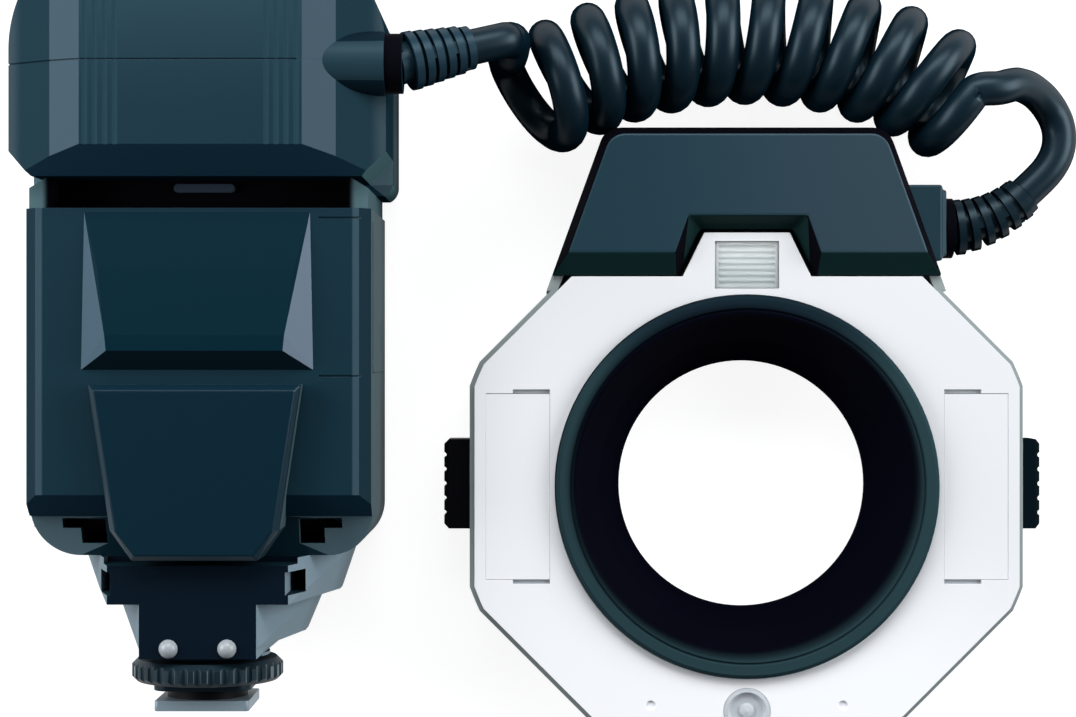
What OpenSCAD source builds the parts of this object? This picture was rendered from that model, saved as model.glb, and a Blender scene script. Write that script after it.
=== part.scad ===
// Macro ring flash: a shoe-mounted control unit and an octagonal ring head, joined by a curly cord.
// Both units lie on their backs, so +Z points out of their fronts. Millimetres.
// The origin is on the ring's optical axis, in the plane of its back.

/* [Ring head] */
// Width of the octagon across its flats
ring_across = 112.6; // [111:0.5:113]
// Height of the rear housing's wall
ring_wall_z = 22.4; // [22:0.1:23]
// Front of the white panel
panel_z = 24; // [23.8:0.1:24.4]
// Front of the dark top cover
cover_z = 27; // [26.4:0.1:28]
// Outer radius of the black bezel
bezel_r = 38.8; // [38:0.1:39]
// Radius of the opening that the lens looks through
opening_r = 25.6; // [25:0.1:26]
// Radius of the seat for the lens adapter
seat_r = 33; // [32.5:0.1:33.2]
// Travel of each release button
release_travel = 2.5; // [2:0.1:2.5]

/* [Control unit] */
// Place of the control unit's middle along X
unit_x = -108.5; // [-110:0.5:-108]
// Half of the lower body's width
body_half = 33.6; // [33:0.1:34]
// Front of the lower body
body_z = 45; // [44.5:0.1:45.5]
// Half of the head's width
head_half = 36.6; // [36:0.1:37]
// Front of the head
head_z = 54; // [53:0.1:55]
// Top end of the head
head_top = 108; // [106:0.5:112]
// Thickness of the moulded walls
wall = 2.2; // [1.8:0.1:2.4]

/* [Shoe] */
// Width of the shoe foot
foot_w = 18.6; // [18.5:0.05:18.7]
// Thickness of the shoe foot
foot_t = 2; // [1.9:0.05:2]
// Radius of the lock wheel
wheel_r = 15; // [14:0.5:16]
// Ridges round the lock wheel
wheel_ridges = 36; // [24:1:40]

/* [Curly cord] */
// Diameter of the cord
cord_d = 7; // [6.6:0.1:7]
// Radius of the curls, to the middle of the cord
curl_r = 9.9; // [9.7:0.1:10]
// Number of curls
curls = 11; // [11:1:11]

/* [Hidden] */
$fn = 64;
gap = 0.2;

// Colours of the main materials
slate = "#26363f";
black = "#14171a";
white = "#eceef2";
steel = "#a8adb0";
clear = "#b9c4cc";

// Ring head, from its driving sizes
ring_half = ring_across / 2;
ring_wall = 2.2;
floor_t = 2;
rim_inset = 1;
cover_base = [40.7, 39.7];
cover_top = [28.7, 72.9];
cover_corner_r = 4;
cover_edge_y = 42.8;
tab_base = 13.1;
tab_top = [8.8, 51.7];
seat_top = 4.6;
seat_out_r = 36.4;
latch_t = 1.4;
latch_z = [4.8, 6.4];
latch_in_r = 36.2;
latch_out_r = 39.4;
claw_r = 31.8;
bezel_base_z = 8;
post_at = 33.2;
post_r = 2.6;
button_z = [4.5, 12.8];
button_half = 9.3;
button_out = release_travel + 3.1;
stop_x = ring_half - ring_wall - 0.1;
tube_x = 45.6;
tube_z = 18;
tube_r = 2.2;
trough_r = 5.6;
trough_half = 18.6;
window_x = [40, 53];
window_half = 18.8;
lamp_y = -45.6;
lamp_r = 4.75;
upper_lamp_y = 45;
gland_y = [46, 61.6];
gland_z = [4.2, 20];
gland_x = [31, 41.4];
ring_relief_at = [gland_x[1], 53, 12.6];
ring_relief_bend = 24;
ring_relief_turn = 45;

// Control unit, from its driving sizes
split_z = 22;
body_y = [-13, 55.2];
inner_half = body_half - wall;
body_side = [[body_y[0] + 2, 0], [body_y[0], 2], [body_y[0], 34.5], [-5, 38.5], [-4.8, 40], [-0.5, body_z],
    [body_y[1], body_z], [body_y[1], 0]];
body_inside = [[-10.8, 3.4], [-10.8, 33.1], [-2.8, 37], [0.8, body_z - wall], [53, body_z - wall], [53, 3.4]];
edge_bevel = 2.2;
af_top = [20.5, 21];
af_low = [16.3, -7];
af_end = [12, -13];
af_z = [48, 50];
plate_base = 22.5;
plate_crown = 17;
plate_y = [23.8, 27.5, 54.4];
plate_z = 49;
head_y = 61.3;
seam_y = 83;
head_corner_r = 22;
head_face = 21.2;
head_edge = [27.4, 51];
head_side_z = 45;
head_low_z = 46;
unit_gland_z = 46;
unit_gland_r = 6.2;
relief_yaw = 15;
relief_droop = 18;
relief_l = 15.2;
relief_base = 2.2;
cell_y = [0, 14.6];
cell_z = [13.6, 28.2];
cell_r = 7.2;
cell_l = 50;
bay_y = [-7.6, 22.6];
bay_z = [5.8, 35.8];
door_pin = [1.15 - body_half, 21.6];
door_edge_r = 1.1;
pin_r = 0.6;
key_floor = 1.2;
key_inner = 3.4;
keys = [[[-16, 27, 0], [8, 4.6]], [[-5.3, 27, 0], [8, 4.6]], [[5.3, 27, 0], [8, 4.6]],
    [[16, 27, 0], [8, 4.6]], [[-14, 15, 0], [8, 5]], [[14, 15, 0], [9, 6]]];
switch_at = [-4, 2, 0];
switch_travel = 8;
board_z = [5, 5.6];
shoe_z = 30;
stem_r = 8;
tier_y = [-21.8, -30.4, -32.4];
lock_pin_z = 5.6;
contact_places = [[0, 0], [-3.6, -4.4], [3.6, -4.4], [-3.8, 0.2], [3.8, 0.2]];
wheel_y = [-38, -33.6];
clamp_y = [-39.3, -38.1];
foot_y = -43.3;

// Cord route: the coil's axis, the lead from the control unit and the tail to the ring
coil_axis = [[-44.9, 78.6, 21.4], [-35.7, 83.3, 19.6], [-26.2, 87.1, 17.9], [-16.2, 89.8, 16.4],
    [-6, 91.5, 15.1], [4.6, 91.8, 14.2], [15.3, 90.7, 13.6], [25.9, 88.1, 13.5], [36.1, 84.1, 13.5],
    [45.2, 78.6, 13.5]];
curl_start = 60;
curl_end = 10;
lead = [[-49, 88.8, 37], [-47.4, 89.2, 32.6]];
tail = [[51.4, 81, 22.8], [55.8, 82, 20], [60.2, 80.8, 16], [63.8, 77.8, 13], [65.7, 73.9, 12.2],
    [65.6, 69.4, 12.4]];
rings_per_curl = 8;
cord_sides = 6;

// Shared shapes

module along_x(length) {
    rotate([90, 0, 90]) linear_extrude(length, center = true) children();
}

module along_y(from, to) {
    translate([0, to, 0]) rotate([90, 0, 0]) linear_extrude(to - from) children();
}

module at_unit() {
    translate([unit_x, 0, 0]) children();
}

module both_sides() {
    children();
    mirror([1, 0, 0]) children();
}

module box(low, high) {
    translate(low) cube(high - low);
}

module rounded_rect(w, h, r) {
    square([w - 2 * r, h], center = true);
    square([w, h - 2 * r], center = true);
    for (x = [-1, 1], y = [-1, 1]) translate([x * (w / 2 - r), y * (h / 2 - r)]) circle(r);
}

// The four posts that carry the bezel
module at_posts() {
    for (x = [-1, 1], y = [-1, 1]) translate([x * post_at, y * post_at, 0]) children();
}

// Ring outline, drawn in by a given amount
module octagon(inset) {
    intersection() {
        rotate(22.5) circle(r = (ring_half - inset) / cos(22.5), $fn = 8);
        circle(r = ring_half - inset + 3.6);
    }
}

// Outline of the top cover: a trapezium with round top corners
module cover_outline(inset, base_y) {
    slope = (cover_base[0] - cover_top[0]) / (cover_top[1] - cover_base[1]);
    lean = atan(1 / slope);
    r = cover_corner_r;
    top = cover_top[1] - inset;
    half_at = function (y) cover_base[0] - (y - cover_base[1]) * slope - inset / sin(lean);
    cx = half_at(top - r) - r / sin(lean);
    tx = cx + r * sin(lean);
    ty = top - r + r * cos(lean);
    base = half_at(base_y);
    polygon([[-base, base_y], [base, base_y], [tx, ty], [cx, top], [-cx, top], [-tx, ty]]);
    for (x = [-cx, cx]) translate([x, top - r]) circle(r);
}

module tab_outline(grow) {
    polygon([[-tab_base - grow, cover_edge_y - 6], [tab_base + grow, cover_edge_y - 6],
        [tab_base + grow, cover_edge_y], [tab_top[0] + grow, tab_top[1] + grow],
        [-tab_top[0] - grow, tab_top[1] + grow], [-tab_base - grow, cover_edge_y]]);
}

// Ring head

module ring_housing() {
    color("#4a4f50") difference() {
        linear_extrude(ring_wall_z) {
            octagon(0);
            cover_outline(0, cover_base[1]);
        }
        difference() {
            translate([0, 0, floor_t]) linear_extrude(ring_wall_z) {
                octagon(ring_wall);
                cover_outline(ring_wall, cover_base[1] - 8);
            }
            at_posts() cylinder(r = post_r, h = bezel_base_z);
            both_sides() for (y = [-8, 8]) translate([43.8, y, 4]) cube([1.6, 4, 15], center = true);
            translate([0, upper_lamp_y, 0]) cylinder(r = 3.4, h = 12);
        }
        translate([0, 0, -1]) cylinder(r = seat_out_r + 0.02, h = floor_t + 2);
        at_posts() translate([0, 0, -1]) {
            cylinder(r = 2.4, h = 2.4);
            cylinder(r = 1.2, h = 20);
        }
        both_sides() box([50, -button_half - gap, button_z[0] - gap],
            [60, button_half + gap, button_z[1] + gap]);
        box([gland_x[0], gland_y[0], gland_z[0]], [gland_x[1] + 1, gland_y[1], gland_z[1]]);
    }
}

module front_panel() {
    color(white) difference() {
        union() {
            translate([0, 0, ring_wall_z]) linear_extrude(panel_z - ring_wall_z) {
                intersection() {
                    octagon(rim_inset);
                    translate([-100, -100]) square([200, 100 + cover_edge_y - 0.15]);
                }
                tab_outline(-0.15);
            }
            translate([0, 0, ring_wall_z - 1.2]) linear_extrude(1.2) intersection() {
                octagon(ring_wall + 0.1);
                translate([-100, -100]) square([200, 100 + cover_edge_y - 4]);
            }
        }
        cylinder(r = bezel_r + 0.2, h = 40);
        both_sides() {
            box([window_x[0], -window_half - 0.9, 10], [window_x[1], window_half + 0.9, 40]);
        }
        box([-6.5, 40.2, 10], [6.5, 49.8, 40]);
        translate([0, lamp_y, 0]) cylinder(r = lamp_r, h = 40);
        both_sides() translate([19.5, -44.4, panel_z - 0.5]) cylinder(r = 1, h = 2);
    }
    color(white) both_sides() for (y = [-1, 1]) difference() {
        translate([0, y * (window_half + 0.5), 0])
            box([window_x[0], -0.4, ring_wall_z - 1.2], [window_x[1], 0.4, panel_z]);
        translate([43.5, y * (window_half + 0.5), panel_z]) cube([8, 2, 1.6], center = true);
    }
}

module top_cover() {
    lip_z = 23.6;
    color(slate) difference() {
        hull() {
            translate([0, 0, ring_wall_z]) linear_extrude(lip_z - ring_wall_z)
                cover_outline(0, cover_edge_y, $fn = 32);
            translate([0, 0, cover_z - 0.01]) linear_extrude(0.01)
                cover_outline(1.5, cover_edge_y + 4.6, $fn = 32);
        }
        hull() {
            translate([0, 0, lip_z - 2]) linear_extrude(2) tab_outline(0);
            translate([0, 0, cover_z]) linear_extrude(0.1) tab_outline(3.2);
        }
        box([-24, 57, ring_wall_z - 1], [24, 66, cover_z - wall]);
    }
}

// Black funnel between the white panel and the lens opening
module bezel() {
    rim_z = 26.4;
    lip_z = [9, 10.4];
    color(black) union() {
        rotate_extrude($fn = 128) polygon([[bezel_r - 2.2, bezel_base_z], [bezel_r, bezel_base_z],
            [bezel_r, rim_z - 0.8], [bezel_r - 0.8, rim_z], [bezel_r - 2.6, rim_z],
            [bezel_r - 3, rim_z - 0.5], [bezel_r - 3.4, rim_z], [bezel_r - 4, rim_z - 0.2],
            [bezel_r - 5, rim_z - 2.6], [opening_r + 4.2, 15.6], [opening_r + 1.2, lip_z[1] + 0.8],
            [opening_r, lip_z[1]], [opening_r, lip_z[0]], [opening_r + 1.6, lip_z[0]],
            [opening_r + 5.8, 14.4], [bezel_r - 6.6, 19.6], [bezel_r - 2.2, 20.4]]);
        for (x = [-1, 1], y = [-1, 1]) difference() {
            intersection() {
                rotate(atan2(y, x)) box([bezel_r - 2, -3, bezel_base_z], [50, 3, bezel_base_z + 2]);
                translate([0, 0, bezel_base_z]) difference() {
                    cylinder(r = 49.6, h = 2);
                    translate([0, 0, -1]) cylinder(r = bezel_r - 1.4, h = 4);
                }
            }
            translate([x * post_at, y * post_at, bezel_base_z - 1]) cylinder(r = 1.2, h = 4);
        }
    }
}

module adapter_seat() {
    color(steel) difference() {
        union() {
            cylinder(r = seat_out_r, h = floor_t);
            translate([0, 0, floor_t]) cylinder(r = 40, h = seat_top - floor_t);
        }
        translate([0, 0, -1]) cylinder(r = seat_r, h = 10);
    }
}

module flash_window() {
    ribs = 12;
    step = (window_x[1] - window_x[0]) / ribs;
    color("#e2e7ee") difference() {
        box([window_x[0] + 0.05, -window_half, 21.4], [window_x[1] - 0.05, window_half, panel_z - 0.1]);
        for (i = [1 : ribs - 1]) translate([window_x[0] + i * step, 0, 21.4]) rotate([90, 0, 0])
            cylinder(r = 0.4, h = 2 * window_half - 2, center = true, $fn = 24);
    }
}

module at_tube() {
    translate([tube_x, 0, tube_z]) rotate([90, 0, 0]) children();
}

module reflector() {
    out_r = trough_r + 0.4;
    color(steel) difference() {
        union() {
            intersection() {
                at_tube() cylinder(r = out_r, h = 2 * trough_half, center = true);
                box([0, -60, 0], [100, 60, tube_z]);
            }
            box([tube_x - out_r, -trough_half, tube_z], [tube_x + out_r, trough_half, 21.2]);
        }
        at_tube() cylinder(r = trough_r, h = 2 * trough_half - 1.6, center = true);
        box([tube_x - trough_r, 0.8 - trough_half, tube_z], [tube_x + trough_r, trough_half - 0.8, 30]);
        at_tube() cylinder(r = tube_r, h = 60, center = true);
    }
}

module xenon_tube() {
    color(clear) at_tube() cylinder(r = tube_r, h = 40, center = true);
}

module upper_lamp_window() {
    color(clear) difference() {
        box([-6.4, 40.3, 21.6], [6.4, 49.7, panel_z - 0.4]);
        for (i = [-3 : 3]) translate([0, 45 + i * 1.2, panel_z - 0.4]) rotate([0, 90, 0])
            cylinder(r = 0.4, h = 11.4, center = true, $fn = 24);
    }
}

module lower_lamp_lens() {
    color(clear) translate([0, lamp_y, 0]) difference() {
        rotate_extrude() polygon([[0, 20.4], [lamp_r - 0.05, 20.4], [lamp_r - 0.05, panel_z + 0.1],
            [lamp_r - 0.8, panel_z + 0.3], [lamp_r - 1.4, panel_z - 0.6], [1.6, panel_z - 0.9],
            [1.2, panel_z - 0.3], [0, panel_z]]);
        translate([0, 0, 18]) cylinder(r = 3, h = 3.4);
    }
}

module lamp_bulbs() {
    color(clear) for (place = [[0, upper_lamp_y, 12], [0, lamp_y, 11.2]]) translate(place)
        rotate_extrude() polygon([[0, 0], [2.2, 0], [2.2, 2.4], [1.6, 3], [1.9, 4.6], [1.6, 6.2], [0.8, 7],
            [0, 7.2]]);
}

module ring_board() {
    color("darkgreen") translate([0, 0, bezel_base_z + 2]) linear_extrude(1.2) difference() {
        intersection() {
            circle(52);
            polygon([[0, 0], [-80, -80], [80, -80]]);
        }
        circle(bezel_r + 1);
    }
}

module trigger_coil() {
    color("saddlebrown") translate([-18, 60, floor_t]) {
        cylinder(r = 6, h = 1.5);
        cylinder(r = 4.6, h = 13);
        translate([0, 0, 13]) cylinder(r = 6, h = 1.5);
    }
}

module release_button() {
    low = [-button_half, button_z[0]];
    high = [button_half, button_z[1]];
    out = ring_half + button_out;
    color(black) difference() {
        union() {
            box([stop_x - 2.2, low[0], low[1]], [out - 1, high[0], high[1]]);
            hull() {
                box([ring_half + 1, low[0], low[1]], [out - 1, high[0], high[1]]);
                box([ring_half + 1, low[0] + 1, low[1] + 1], [out, high[0] - 1, high[1] - 1]);
            }
            box([stop_x - 2.2, low[0] - 1.2, low[1]], [stop_x, high[0] + 1.2, high[1]]);
        }
        for (y = [-6, -3, 0, 3, 6]) translate([out, y, 8])
            cylinder(r = 0.5, h = 20, center = true, $fn = 24);
        box([50, -5, latch_z[0] - 1], [stop_x - 1.4, 5, latch_z[1] + latch_t + 0.2]);
    }
}

// Latch slider: a hoop round the seat, with its claw on the side away from its button
module latch(level) {
    color(steel) translate([0, 0, latch_z[level]]) linear_extrude(latch_t) {
        difference() {
            union() {
                circle(latch_out_r);
                translate([latch_in_r, -4.8]) square([stop_x - 1.5 - latch_in_r, 9.6]);
            }
            circle(latch_in_r);
        }
        difference() {
            intersection() {
                circle(latch_in_r + 0.5);
                polygon([[0, 0], [-60, -14], [-60, 14]]);
            }
            circle(claw_r);
        }
    }
}

module release_springs() {
    turns = 5;
    from = 44.7;
    to = stop_x - 2.3;
    r = 1.6;
    wire = 0.5;
    color(steel) for (y = [-8, 8]) {
        steps = turns * 8;
        path = [for (i = [0 : steps]) [from + wire + (to - from - 2 * wire) * i / steps,
            y + r * cos(i * 45), 8.6 + r * sin(i * 45)]];
        tube(path, wire / 2, cord_sides);
    }
}

module ring_gland() {
    low = [gland_x[0], gland_y[0], gland_z[0]];
    high = [gland_x[1], gland_y[1], gland_z[1]];
    color(black) difference() {
        union() {
            box(low + [0, 0.02, 0.02], high - [1, 0.02, 0.02]);
            box([high[0] - 1, low[1] + 1, low[2] + 1], high - [0, 1, 1]);
        }
        box(low + [-1, 3, 3], [low[0] + 4, high[1] - 3, high[2] - 3]);
    }
}

module ring_screws() {
    color(steel) at_posts() difference() {
        union() {
            translate([0, 0, 0.2]) cylinder(r = 2.2, h = 1.2);
            cylinder(r = 1.1, h = 9.6);
        }
        translate([0, 0, -0.1]) box([-1.6, -0.3, 0], [1.6, 0.3, 0.8]);
        translate([0, 0, -0.1]) box([-0.3, -1.6, 0], [0.3, 1.6, 0.8]);
    }
}

// Ribbed strain reliefs: discs along a core, bridged in turn on two sides

module relief_rib(i, d) {
    t = 1.5;
    rotate([0, 90, 0]) cylinder(d = d, h = t);
    turn = i % 2 == 0 ? 0 : 90;
    rotate([turn, 0, 0]) for (s = [-1, 1]) translate([t, -1.2, s * d * 0.36 - 0.8]) cube([1.1, 2.4, 1.6]);
}

module unit_relief() {
    ribs = 6;
    step = (relief_l - 1.5) / ribs;
    color(black) at_unit() translate([head_half, seam_y, unit_gland_z]) {
        rotate([0, 90, 0]) cylinder(r = unit_gland_r - 0.4, h = 3.4);
        translate([relief_base, 0, 0]) rotate([0, relief_droop, relief_yaw]) {
            rotate([0, 90, 0]) cylinder(d1 = 8.4, d2 = 7, h = relief_l);
            for (i = [1 : ribs - 1]) translate([i * step, 0, 0]) relief_rib(i, 12 - 0.5 * i);
            translate([relief_l - 1.5, 0, 0]) rotate([0, 90, 0]) cylinder(d = 8.6, h = 1.5);
        }
    }
}

module ring_relief() {
    ribs = 7;
    turn = ring_relief_turn;
    color(black) translate(ring_relief_at) {
        rotate([0, 90, 0]) cylinder(d = 12.4, h = 2);
        translate([0, ring_relief_bend, 0]) {
            rotate([0, 0, -90]) rotate_extrude(angle = turn) translate([ring_relief_bend, 0])
                circle(d = 7.4, $fn = 32);
            for (i = [1 : ribs - 1]) rotate([0, 0, i * turn / ribs]) translate([0, -ring_relief_bend, 0])
                relief_rib(i, 12 - 0.5 * i);
            rotate([0, 0, turn]) translate([-1.6, -ring_relief_bend, 0]) rotate([0, 90, 0])
                cylinder(d = 8.4, h = 1.6);
        }
    }
}

// Curly cord

function unit_of(v) = v / norm(v);
function spline(points, t) =
    let (n = len(points) - 1, s = min(t * n, n - 0.000001), i = floor(s), f = s - i,
        a = points[max(i - 1, 0)], b = points[i], c = points[i + 1], d = points[min(i + 2, n)])
    0.5 * (2 * b + (c - a) * f + (2 * a - 5 * b + 4 * c - d) * f * f + (3 * b - a - 3 * c + d) * f * f * f);

// A point on the helix: it turns left-handed about the coil's axis
function curl_point(t, turn) =
    let (c = spline(coil_axis, t),
        along = unit_of(spline(coil_axis, min(t + 0.01, 1)) - spline(coil_axis, max(t - 0.01, 0))),
        side = unit_of(cross([0, 0, 1], along)), up = cross(along, side))
    c + curl_r * (cos(turn) * up + sin(turn) * side);

relief_dir = [cos(relief_droop) * cos(relief_yaw), cos(relief_droop) * sin(relief_yaw), -sin(relief_droop)];
unit_tip = [unit_x + head_half + relief_base, seam_y, unit_gland_z] + relief_l * relief_dir;
ring_dir = [cos(ring_relief_turn), sin(ring_relief_turn), 0];
ring_tip = ring_relief_at + [0, ring_relief_bend, 0]
    + ring_relief_bend * [sin(ring_relief_turn), -cos(ring_relief_turn), 0];
total_turn = curls * 360 + curl_end - curl_start;
curl_steps = round(total_turn / 360 * rings_per_curl);
cord_path = concat(
    [unit_tip, unit_tip + cord_d * relief_dir], lead,
    [for (i = [0 : curl_steps]) curl_point(i / curl_steps, curl_start + total_turn * i / curl_steps)],
    tail, [ring_tip + cord_d * ring_dir, ring_tip]);

// A closed tube along a path, with its frame carried from ring to ring
function tangent(path, i) =
    unit_of(i == 0 ? path[1] - path[0] : i == len(path) - 1 ? path[i] - path[i - 1]
        : unit_of(path[i + 1] - path[i]) + unit_of(path[i] - path[i - 1]));
function carried(v, along) = unit_of(v - (v * along) * along);
function frames(path) = [
    for (i = 0, side = carried([0.3, 0.2, 1], tangent(path, 0)); i < len(path);
        i = i + 1, side = i < len(path) ? carried(side, tangent(path, i)) : side) side];

module tube(path, r, sides) {
    turned = frames(path);
    last = len(path) - 1;
    far = last * sides;
    points = [for (i = [0 : last]) let (side = turned[i], other = cross(tangent(path, i), side))
        for (k = [0 : sides - 1]) path[i] + r * (cos(360 * k / sides) * side + sin(360 * k / sides) * other)];
    walls = [for (i = [0 : last - 1], k = [0 : sides - 1])
        let (a = i * sides + k, b = i * sides + (k + 1) % sides)
        each [[a, a + sides, b], [b, a + sides, b + sides]]];
    ends = [for (k = [1 : sides - 2]) each [[0, k, k + 1], [far, far + k + 1, far + k]]];
    polyhedron(points, concat(walls, ends), convexity = 20);
}

function to_segment(q, a, b) =
    let (f = max(0, min(1, (q - a) * (b - a) / ((b - a) * (b - a)))))
    norm(q - a - f * (b - a));
function sum_of(list) = list * [for (x = list) 1];

module curly_cord() {
    far = rings_per_curl - 3;
    last = len(cord_path) - 1;
    least = min([for (i = [0 : last - far], k = [i + far : last])
        to_segment(cord_path[k], cord_path[i], cord_path[i + 1])]) - cord_d;
    echo(cord_least_gap = least);
    echo(cord_length = sum_of([for (i = [0 : len(cord_path) - 2]) norm(cord_path[i + 1] - cord_path[i])]));
    color(black) tube(cord_path, cord_d / 2, cord_sides);
}

// Control unit: casing

module body_outline(inset) {
    r = 9 - inset;
    w = body_half - inset;
    low = body_y[0] + inset;
    high = body_y[1] - inset;
    translate([-w, low + r]) square([2 * w, high - low - r]);
    translate([-w + r, low]) square([2 * (w - r), r + 1]);
    for (x = [-1, 1]) translate([x * (w - r), low + r]) circle(r);
}

module body_block() {
    intersection() {
        linear_extrude(60) body_outline(0);
        along_x(100) polygon(body_side);
        along_y(-40, 80) polygon([[-body_half + 1.6, 0], [body_half - 1.6, 0], [body_half, 1.6],
            [body_half, body_z - edge_bevel], [body_half - edge_bevel, body_z],
            [edge_bevel - body_half, body_z], [-body_half, body_z - edge_bevel], [-body_half, 1.6]]);
    }
}

module body_cavity() {
    intersection() {
        linear_extrude(60) body_outline(wall);
        along_x(2 * inner_half) polygon(body_inside);
    }
}

module door_opening() {
    box([-body_half - 1, bay_y[0], bay_z[0]], [-inner_half + 0.5, bay_y[1] + 0.4, bay_z[1]]);
    translate([door_pin[0], door_pin[1], bay_z[0] - 2]) cylinder(r = pin_r, h = bay_z[1] - bay_z[0] + 4);
}

module af_outline(inset) {
    right = [[af_top[0] - inset, af_top[1] - inset], [af_low[0] - inset, af_low[1]],
        [af_end[0] - inset / 2, af_end[1] + inset]];
    polygon(concat(right, [for (i = [2 : -1 : 0]) [-right[i][0], right[i][1]]]));
}

module unit_screw_places() {
    for (place = [[-27, 49], [27, 49], [-27, 28.4], [27.8, -4]]) translate(place) children();
}

module front_shell() {
    color(slate) at_unit() difference() {
        union() {
            intersection() {
                body_block();
                box([-50, -50, split_z], [50, 80, 60]);
            }
            translate([0, 0, 30]) linear_extrude(af_z[0] - 30) af_outline(0);
        }
        difference() {
            body_cavity();
            unit_screw_places() cylinder(r = 3, h = 60);
        }
        translate([0, 0, 36]) linear_extrude(af_z[0] - 38) af_outline(2.4);
        translate([0, 3, 40]) cylinder(r = 4.2, h = 20);
        unit_screw_places() cylinder(r = 1.1, h = 31);
        door_opening();
        side_panel_space();
        for (y = [22.6, 53.3]) box([23.5, y - 0.2, body_z - 0.4], [body_half + 1, y + 0.2, body_z + 1]);
        both_sides() box([19, -10.5, 30], [24, -5.6, 60]);
        both_sides() box([22.5, -7.4, 32], [27.5, -5.4, 60]);
    }
}

module rear_shell() {
    color(slate) at_unit() difference() {
        intersection() {
            body_block();
            box([-50, -50, -1], [50, 80, split_z]);
        }
        difference() {
            body_cavity();
            unit_screw_places() cylinder(r = 3, h = 30);
            for (x = [-22, 22], y = [33, 50]) translate([x, y, 0]) cylinder(r = 1.6, h = board_z[0]);
        }
        unit_screw_places() {
            translate([0, 0, -1]) cylinder(r = 2.6, h = 3.4);
            cylinder(r = 1.3, h = 30);
        }
        linear_extrude(2 * key_floor, center = true) translate([0, 14]) rounded_rect(46, 38, 3);
        linear_extrude(2 * key_floor, center = true) translate([0, 43.6]) rounded_rect(48, 18.4, 2);
        translate([0, 43.6, 0]) linear_extrude(10) rounded_rect(39, 14, 1);
        for (k = keys) translate(k[0]) linear_extrude(20, center = true) key_outline(k[1], 0.25);
        translate([switch_at[0] + switch_travel / 2, switch_at[1], 0])
            cube([switch_travel + 4.4, 3.4, 20], center = true);
        door_opening();
        side_panel_space();
    }
}

module side_panel_space() {
    box([body_half - 1.2, 23.2, 6], [body_half + 1, 52.8, 39]);
}

module side_panel() {
    color("#5d6468") at_unit() difference() {
        box([body_half - 1.2, 23.25, 6.05], [body_half + 0.2, 52.75, 38.95]);
        for (z = [14, 17, 20]) box([body_half - 0.2, 27, z], [body_half + 1, 33, z + 0.8]);
    }
}

module nameplate_panel() {
    low = plate_y[0];
    crest = plate_y[1];
    high = plate_y[2];
    color(slate) at_unit() hull() {
        plate_slice(body_z, [plate_base, low], [plate_base - 0.6, high]);
        plate_slice(plate_z - 2, [plate_crown + 1.8, crest], [plate_crown + 2, crest + 16]);
        plate_slice(plate_z - 0.01, [plate_crown, crest], [plate_crown + 0.3, crest + 3]);
    }
}

module plate_slice(z, near, far) {
    translate([0, 0, z]) linear_extrude(0.01) polygon([[-near[0], near[1]], near, far, [-far[0], far[1]]]);
}

module af_window() {
    color("#0d1418") at_unit() hull() {
        translate([0, 0, af_z[0]]) linear_extrude(0.8) af_outline(0);
        translate([0, 0, af_z[1] - 0.01]) linear_extrude(0.01) af_outline(1.2);
    }
}

module af_lamp() {
    color("darkred") at_unit() translate([0, 3, 0]) {
        translate([0, 0, 38]) cylinder(r = 6, h = 3);
        translate([0, 0, 41]) cylinder(r = 4, h = 3);
        translate([0, 0, 44]) intersection() {
            sphere(r = 4);
            cylinder(r = 4, h = 4);
        }
    }
}

// Control unit: head and neck

module head_outline(inset) {
    r = head_corner_r - inset;
    w = head_half - inset;
    top = head_top - inset;
    low = 66.2 + inset / 2;
    translate([-w, low]) square([2 * w, top - r - low]);
    translate([r - w, top - r - 1]) square([2 * (w - r), r + 1]);
    for (x = [-1, 1]) translate([x * (w - r), top - r]) circle(r);
    polygon([[inset - 32, head_y + inset], [32 - inset, head_y + inset], [w, low], [-w, low]]);
}

module head_block(inset) {
    face = head_face - inset / 2;
    edge = [head_edge[0] - inset / 2, head_edge[1] - inset];
    side = [head_half - inset, head_side_z - inset];
    intersection() {
        union() {
            linear_extrude(60) head_outline(inset);
            linear_extrude(22 - inset) translate([0, 66])
                rounded_rect(2 * side[0], 14 - 2 * inset, 3 - inset);
        }
        along_y(40, 120) polygon([[2 - side[0], inset], [side[0] - 2, inset], [side[0], inset + 2], side,
            edge, [face, head_z - inset], [-face, head_z - inset], [-edge[0], edge[1]],
            [-side[0], side[1]], [-side[0], inset + 2]]);
        along_x(100) polygon([[59.2 + inset, inset], [head_top - inset - 2, inset],
            [head_top - inset, inset + 2], [head_top - inset, head_z - 12 - inset],
            [head_top - 9 - inset, head_z - inset], [66.8 + inset, head_z - inset],
            [head_y + inset, head_low_z - inset], [head_y + inset, 22 - inset],
            [59.2 + inset, 20 - inset]]);
    }
}

module head_half_shell(low, high) {
    color(slate) at_unit() difference() {
        intersection() {
            union() {
                head_block(0);
                translate([21, seam_y, unit_gland_z]) rotate([0, 90, 0])
                    cylinder(r = unit_gland_r, h = head_half - 21);
            }
            box([-60, low, -1], [60, high, 80]);
        }
        difference() {
            head_block(wall);
            translate([20, seam_y, unit_gland_z]) rotate([0, 90, 0]) cylinder(r = unit_gland_r, h = 20);
        }
        for (u = [14.4, 16.3, 18.2, 20.1]) both_sides()
            along_y(60, 120)
                polygon([[u - 0.7, head_z + 0.05], [u, head_z - 0.15], [u + 0.7, head_z + 0.05]]);
        difference() {
            box([-60, seam_y - 0.15, head_side_z - 1], [unit_gland_r + 14, seam_y + 0.15, 80]);
            head_block(0.3);
        }
    }
}

module head_lower_shell() {
    head_half_shell(50, seam_y);
}

module head_upper_shell() {
    head_half_shell(seam_y, 130);
}

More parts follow.
